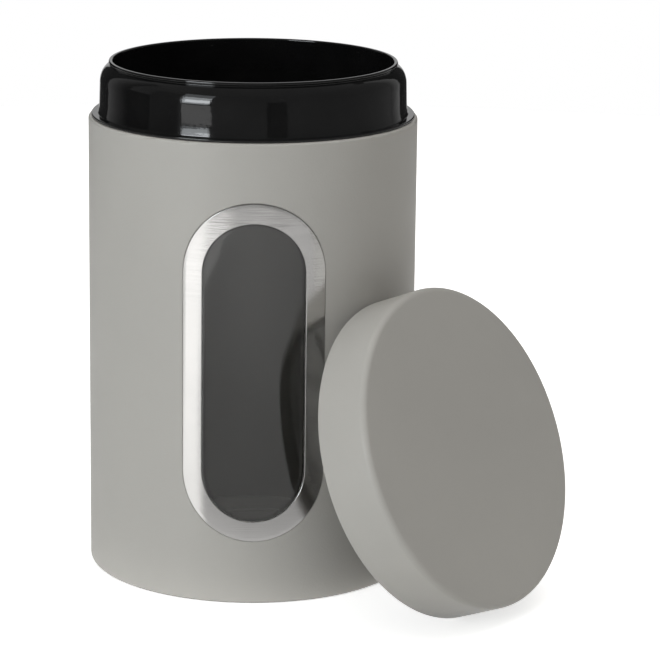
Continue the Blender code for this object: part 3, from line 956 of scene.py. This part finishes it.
# %% Plastic neck
FINE, SOFT = 0.0002, 0.0003
LIP_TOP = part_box("neck_collar")[1].z
NECK_DRAFT = 0.0003
NECK_WALL = 0.0016
FLANGE_TOP = BODY_HEIGHT + FIT + 0.0007
FLANGE_RADIUS = BODY_RADIUS - 0.001
LIP_WALL = 0.0013
LIP_ROUND = LIP_WALL * 0.38
LIP_EDGE = 0.0007
LIP_UNDERCUT = 0.0005
LIP_FOOT_ROUND = 0.00025
LIP_RADIUS = NECK_RADIUS - NECK_DRAFT - 0.003
MOUTH_RADIUS = LIP_RADIUS - LIP_WALL
SHOULDER_FOOT = LIP_TOP - 0.0074
SHOULDER_END = LIP_TOP - 0.0014
SHOULDER_UNDER = LIP_TOP - 0.0045
SHOULDER_STEPS = 8
SOFT_ROUND = 0.008
SOFT_SWEEP = math.radians(22)
FOOT_FLARE = 0.00024
FLARE_DRAFT = 0.0001
FLARE_HEIGHT = 0.0028
FLARE_ROUND = 0.03
SNAP_BEAD = 0.001
SKIRT_FOOT = BODY_HEIGHT - 0.0073
TUBE_FOOT = LIP_TOP - 0.0218


def shoulder_arc(start, radius, first, last):
    """Points of an arc from a start, whose lean grows from the first angle to the last."""
    points = []
    for step in range(1, SHOULDER_STEPS + 1):
        angle = first + (last - first) * step / SHOULDER_STEPS
        points.append(Vector((
            start.x - radius * (math.cos(first) - math.cos(angle)),
            start.y + radius * (math.sin(angle) - math.sin(first)),
        )))
    return points


shoulder = [Vector((NECK_RADIUS - NECK_DRAFT, SHOULDER_FOOT))]
shoulder += shoulder_arc(shoulder[0], SOFT_ROUND, 0, SOFT_SWEEP)
knee = shoulder[-1]
run = knee.x - (LIP_RADIUS - LIP_UNDERCUT)
last_sweep = 2 * math.atan2(run, SHOULDER_END - knee.y) - SOFT_SWEEP
tight_round = run / (math.cos(SOFT_SWEEP) - math.cos(last_sweep))
shoulder += shoulder_arc(knee, tight_round, SOFT_SWEEP, last_sweep)
print("shoulder ends at", round(math.degrees(last_sweep), 1), "degrees",
      "with a round of", round(tight_round * 1000, 2), "mm")

skirt_inside = SKIRT_RADIUS - NECK_WALL
tube_outside = MOUTH_RADIUS + NECK_WALL
bead_top = BODY_HEIGHT - BODY_SHEET - FIT
neck = turned("neck_ring", held(rounded([
    (MOUTH_RADIUS, LIP_TOP, LIP_ROUND),
    (LIP_RADIUS, LIP_TOP, LIP_ROUND),
    (LIP_RADIUS, LIP_TOP - LIP_EDGE, FINE),
    (*shoulder[-1], LIP_FOOT_ROUND),
    *((*point, 0) for point in shoulder[-2::-1]),
    (NECK_RADIUS - FLARE_DRAFT, FLANGE_TOP + FLARE_HEIGHT, FLARE_ROUND),
    (NECK_RADIUS + FOOT_FLARE, FLANGE_TOP, SOFT),
    (FLANGE_RADIUS, FLANGE_TOP, SOFT),
    (FLANGE_RADIUS, BODY_HEIGHT + FIT, CRISP),
    (SKIRT_RADIUS, BODY_HEIGHT + FIT, 0),
    (SKIRT_RADIUS, bead_top, 0),
    (SKIRT_RADIUS + SNAP_BEAD, bead_top - SNAP_BEAD, SOFT),
    (SKIRT_RADIUS, bead_top - 3 * SNAP_BEAD, SOFT),
    (SKIRT_RADIUS, SKIRT_FOOT, SOFT),
    (skirt_inside, SKIRT_FOOT, SOFT),
    (skirt_inside, SHOULDER_UNDER, SOFT),
    (tube_outside, SHOULDER_UNDER, SOFT),
    (tube_outside, TUBE_FOOT, SOFT),
    (MOUTH_RADIUS, TUBE_FOOT, SOFT),
]), margin=0.0002), GLOSS_PLASTIC)
place_piece(neck, ON_CANISTER, "canister", "neck_plastic", "neck_collar")

# %% [markdown]
# ## The window
# Four parts sit in the hole, from outside in: the bright band with a softly rounded outer edge
# and a collar rolled inward, the clear pane whose raised middle fills the band, the gasket
# behind the wall, and the clamp that holds all of it from inside. Each is one section given to
# the tree above.

# %% Band, pane, gasket and clamp
BAND_HALF_WIDTH = 0.0236
PANE_OPENING = 0.0170
COLLAR_WALL = 0.0005
BAND_FACE = BODY_RADIUS + 0.0002
BAND_UNDERSIDE = BAND_FACE - 0.0006
BAND_ROLL = 0.0011
BAND_ROLL_ROUND = 0.008
BAND_ROLL_DROP = 0.00003
BAND_EDGE = 0.00015
BURR = 0.00005
COLLAR_BACK = BAND_FACE - 0.0019
PANE_FACE = BAND_FACE - 0.0002
PANE_EDGE = PANE_OPENING + 0.0046
PANE_STEPS = 12
SEAL_FRONT = BODY_INSIDE - FIT
SEAL_BACK = SEAL_FRONT - 0.0005
SEAL_LAP = 0.0005
LEDGE_FACE = SEAL_BACK - FIT
PANE_BACK = LEDGE_FACE - 0.0014
CLAMP_FACE = PANE_BACK - FIT
CLAMP_BACK = CLAMP_FACE - 0.0018
CLAMP_RIM = 0.0032
CLAMP_ROUND = 0.0009

band = window_piece("window_band", held(rounded([
    (PANE_OPENING, COLLAR_BACK, CRISP),
    (PANE_OPENING, BAND_FACE, FINE),
    (BAND_HALF_WIDTH - BAND_ROLL, BAND_FACE, BAND_ROLL_ROUND),
    (BAND_HALF_WIDTH, BAND_FACE - BAND_ROLL_DROP, BAND_EDGE),
    (BAND_HALF_WIDTH, BAND_UNDERSIDE, BURR),
    (PANE_OPENING + COLLAR_WALL, BAND_UNDERSIDE, FINE),
    (PANE_OPENING + COLLAR_WALL, COLLAR_BACK, CRISP),
]), margin=0.00012, longest=0.0012), BAND_STEEL, PANE_OPENING)
place_piece(band, ON_CANISTER, "canister", "frame_steel", "window_frame")

middle = PANE_OPENING - BURR
pane_front = [(middle * step / PANE_STEPS, PANE_FACE) for step in range(PANE_STEPS)]
pane_back = [(middle * step / PANE_STEPS, PANE_BACK) for step in range(PANE_STEPS, -1, -1)]
pane_edge = rounded([
    (0, PANE_FACE, 0),
    (middle, PANE_FACE, BURR),
    (middle, LEDGE_FACE, 0),
    (PANE_EDGE, LEDGE_FACE, FINE),
    (PANE_EDGE, PANE_BACK, FINE),
    (0, PANE_BACK, 0),
])[1:-1]
pane_section = pane_front + pane_edge + pane_back
pane = window_piece("window_pane_clear", pane_section, CLEAR_PLASTIC, PANE_OPENING)
place_piece(pane, ON_CANISTER, "canister", "clear_pane", "window_pane")

gasket = window_piece("window_gasket", rounded([
    (HOLE_HALF_WIDTH + SEAL_LAP, SEAL_FRONT, CRISP),
    (PANE_EDGE - SEAL_LAP, SEAL_FRONT, CRISP),
    (PANE_EDGE - SEAL_LAP, SEAL_BACK, CRISP),
    (HOLE_HALF_WIDTH + SEAL_LAP, SEAL_BACK, CRISP),
]), RUBBER, PANE_OPENING)
place_piece(gasket, ON_CANISTER, "canister", "seal_rubber", "window_seal")

clamp = window_piece("window_clamp", held(rounded([
    (HOLE_HALF_WIDTH, CLAMP_FACE, FINE),
    (PANE_EDGE + FIT, CLAMP_FACE, FINE),
    (PANE_EDGE + FIT, SEAL_FRONT, FINE),
    (PANE_EDGE + FIT + CLAMP_RIM, SEAL_FRONT, FINE),
    (PANE_EDGE + FIT + CLAMP_RIM, CLAMP_BACK, CLAMP_ROUND),
    (HOLE_HALF_WIDTH, CLAMP_BACK, CLAMP_ROUND),
]), margin=0.0002, longest=0.0015), SATIN_PLASTIC, PANE_OPENING)
place_piece(clamp, ON_CANISTER, "canister", "inner_plastic", "window_retainer")

# %% [markdown]
# ## Where the lid leans
# The lid stands on its open rim and its edge touches the wall. Three directions fix it: level
# along its plane, up its plane, and out of its face. Its pieces are drawn lying flat, open rim
# at height 0 and face on top, and one matrix stands them up.

# %% Place of the leaning lid
LEAN_AZIMUTH = math.radians(52.4)
LEAN_TILT = math.radians(22.3)
LEAN_TURN = math.radians(4.9)
LID_SHEET = 0.0005
HEM_PLAY = 0.00043
LID_RADIUS = NECK_RADIUS + HEM_PLAY + 2 * LID_SHEET
LID_HEIGHT = 0.019

azimuth_turn = Matrix.Rotation(LEAN_AZIMUTH, 3, "Z")
stand = azimuth_turn @ Matrix.Rotation(math.pi / 2 - LEAN_TILT, 3, "X")
level, up, face_out = stand.col
ring = LID_RADIUS - LID_SHEET
out = Vector((face_out.x, face_out.y, 0)).normalized()
touch = out * math.cos(LEAN_TURN) - level * math.sin(LEAN_TURN) * math.sin(LEAN_TILT)
rim_centre = touch.normalized() * (BODY_RADIUS + FIT + LID_SHEET)
rim_centre -= ring * (level * math.sin(LEAN_TURN) + up * math.cos(LEAN_TURN))
rim_centre -= face_out * LID_SHEET
rim_centre.z = ring * up.z + LID_SHEET - LID_SHEET * face_out.z
ON_LID = Matrix.Translation(AXIS + rim_centre) @ stand.to_4x4()
print("lid rim centre at", tuple(round(value, 5) for value in ON_LID.translation))

# %% [markdown]
# ## The lid's cap
# The cap is pressed from the same sheet as the wall and coated with it. Its edge has a soft
# round from the press tool, and the open rim is folded back inside, so no raw edge shows.

# %% Lid cap
LID_ROUND = 0.002
HEM_HEIGHT = 0.0028
HEM_ROUND = LID_SHEET * 0.95

cap_inside = LID_RADIUS - LID_SHEET
hem_inside = cap_inside - LID_SHEET
cap = turned("lid_cap", held(rounded([
    (0, LID_HEIGHT, 0),
    (LID_RADIUS, LID_HEIGHT, LID_ROUND),
    (LID_RADIUS, 0, LID_SHEET),
    (hem_inside, 0, HEM_ROUND),
    (hem_inside, HEM_HEIGHT, CRISP),
    (cap_inside, HEM_HEIGHT, CRISP),
    (cap_inside, LID_HEIGHT - LID_SHEET, LID_ROUND - LID_SHEET),
    (0, LID_HEIGHT - LID_SHEET, 0),
]), longest=0.006), POWDER_COAT)
place_piece(cap, ON_LID, "lid", "grey_paint", "lid_shell")

# %% [markdown]
# ## The lid's liner and its ribs
# Under the cap sits a grey liner: a plate, a plug ring that enters the mouth, and a hub. Thin
# ribs run from hub to plug and keep the plate flat. Twelve equal ribs are a repeat, so Geometry
# Nodes make them: one bar, placed on the points of a circle and turned to face the hub.

# %% Lid liner with ribs
LINER_PLATE = 0.0007
LINER_ROUND = 0.0005
PLUG_PLAY = 0.0006
PLUG_DEPTH = 0.0088
PLUG_WALL = 0.0031
GROOVE_DEPTH = 0.0017
GROOVE_HEIGHT = 0.0042
GROOVE_FOOT = 0.0016
HUB_RADIUS = 0.0102
HUB_WALL = 0.0012
HUB_HEIGHT = 0.003
RIB_COUNT = 12
RIB_THICKNESS = 0.001
RIB_HEIGHT = 0.0024

plate_under = LID_HEIGHT - LID_SHEET - FIT - LINER_PLATE
plug_outside = MOUTH_RADIUS - PLUG_PLAY
plug_inside = plug_outside - PLUG_WALL
plug_foot = plate_under - PLUG_DEPTH
groove_floor = plug_outside - GROOVE_DEPTH
groove_foot = plug_foot + GROOVE_FOOT
groove_top = groove_foot + GROOVE_HEIGHT
hub_inside = HUB_RADIUS - HUB_WALL
liner = turned("lid_liner_moulding", held(rounded([
    (0, plate_under + LINER_PLATE, 0),
    (LID_RADIUS - LID_ROUND, plate_under + LINER_PLATE, CRISP),
    (LID_RADIUS - LID_ROUND, plate_under, CRISP),
    (plug_outside, plate_under, FINE),
    (plug_outside, groove_top, FINE),
    (groove_floor, groove_top, FINE),
    (groove_floor, groove_foot, FINE),
    (plug_outside, groove_foot, FINE),
    (plug_outside, plug_foot, GROOVE_FOOT / 2),
    (plug_inside, plug_foot, SOFT),
    (plug_inside, plate_under, LINER_ROUND),
    (HUB_RADIUS, plate_under, LINER_ROUND),
    (HUB_RADIUS, plate_under - HUB_HEIGHT, SOFT),
    (hub_inside, plate_under - HUB_HEIGHT, SOFT),
    (hub_inside, plate_under, LINER_ROUND),
    (0, plate_under, 0),
]), margin=0.0002), LINER_PLASTIC)


def make_rib_tree():
    tree, values, end = open_tree("ring of ribs", "GeometryNodeTree", [
        ("Liner", "Geometry", None),
        ("Count", "Int", RIB_COUNT),
        ("Inner radius", "Float", hub_inside + HUB_WALL / 2),
        ("Outer radius", "Float", plug_inside + HUB_WALL / 2),
        ("Thickness", "Float", RIB_THICKNESS),
        ("Height", "Float", RIB_HEIGHT),
        ("Sink", "Float", LINER_PLATE / 2),
        ("Plate level", "Float", plate_under),
        ("Finish", "Material", None),
    ], [("Piece", "Geometry")])
    length = calculate(tree, "SUBTRACT", values["Outer radius"], values["Inner radius"])
    tall = calculate(tree, "ADD", values["Height"], values["Sink"])
    size = combine(tree, X=length, Y=values["Thickness"], Z=tall)
    bar = result(tree, "GeometryNodeMeshCube", {"Size": size})
    both_radii = calculate(tree, "ADD", values["Outer radius"], values["Inner radius"])
    circle = result(tree, "GeometryNodeMeshCircle", {
        "Vertices": values["Count"], "Radius": calculate(tree, "MULTIPLY", both_radii, 0.5),
    })
    below = calculate(tree, "SUBTRACT", values["Height"], values["Sink"])
    bar_level = calculate(tree, "MULTIPLY_ADD", below, -0.5, values["Plate level"])
    half_step = calculate(tree, "DIVIDE", math.pi, values["Count"])
    places = result(tree, "GeometryNodeTransform", {
        "Geometry": circle,
        "Translation": combine(tree, Z=bar_level),
        "Rotation": combine(tree, Z=half_step),
    })
    position = split(tree, result(tree, "GeometryNodeInputPosition"))
    direction = calculate(tree, "ARCTAN2", position["Y"], position["X"])
    ribs = result(tree, "GeometryNodeInstanceOnPoints", {
        "Points": places, "Instance": bar, "Rotation": combine(tree, Z=direction),
    })
    real = result(tree, "GeometryNodeRealizeInstances", {"Geometry": ribs})
    union = add(tree, "GeometryNodeMeshBoolean", operation="UNION", solver="EXACT")
    fill(tree, union, {"Mesh 2": values["Liner"]})
    fill(tree, union, {"Mesh 2": real})
    fill(tree, end, {"Piece": result(tree, "GeometryNodeSetMaterial", {
        "Geometry": union.outputs["Mesh"], "Material": values["Finish"],
    })})
    return tree


ribbing = liner.modifiers.new("ribs", "NODES")
ribbing.node_group = make_rib_tree()
set_input(ribbing, "Count", RIB_COUNT)
set_input(ribbing, "Finish", LINER_PLASTIC)
liner = baked(liner, "lid_liner_moulding")
place_piece(liner, ON_LID, "lid", "liner_plastic", "lid_liner")

# %% [markdown]
# ## The lid's sealing ring
# A milky silicone ring sits in the plug's groove. Its two soft fins bend against the mouth and
# keep air out.

# %% Lid sealing ring
RING_WALL = 0.0012
FIN_SQUEEZE = 0.0004
FIN = 0.0005
FIN_ROUND = 0.00015

ring_inside = groove_floor + FIT
ring_outside = ring_inside + RING_WALL
fin_tip = MOUTH_RADIUS + FIN_SQUEEZE
top = groove_top - FIT
foot = groove_foot + FIT
halfway = (top + foot) / 2
sealing_ring = turned("lid_sealing_ring", rounded([
    (ring_inside, top, CRISP),
    (ring_outside, top, CRISP),
    (fin_tip, top - FIN, FIN_ROUND),
    (fin_tip, top - 2 * FIN, FIN_ROUND),
    (ring_outside, halfway + FIN / 2, CRISP),
    (ring_outside, halfway, CRISP),
    (fin_tip, halfway - FIN, FIN_ROUND),
    (fin_tip, halfway - 2 * FIN, FIN_ROUND),
    (ring_outside, foot, CRISP),
    (ring_inside, foot, CRISP),
]), SILICONE)
place_piece(sealing_ring, ON_LID, "lid", "silicone", "lid_seal")
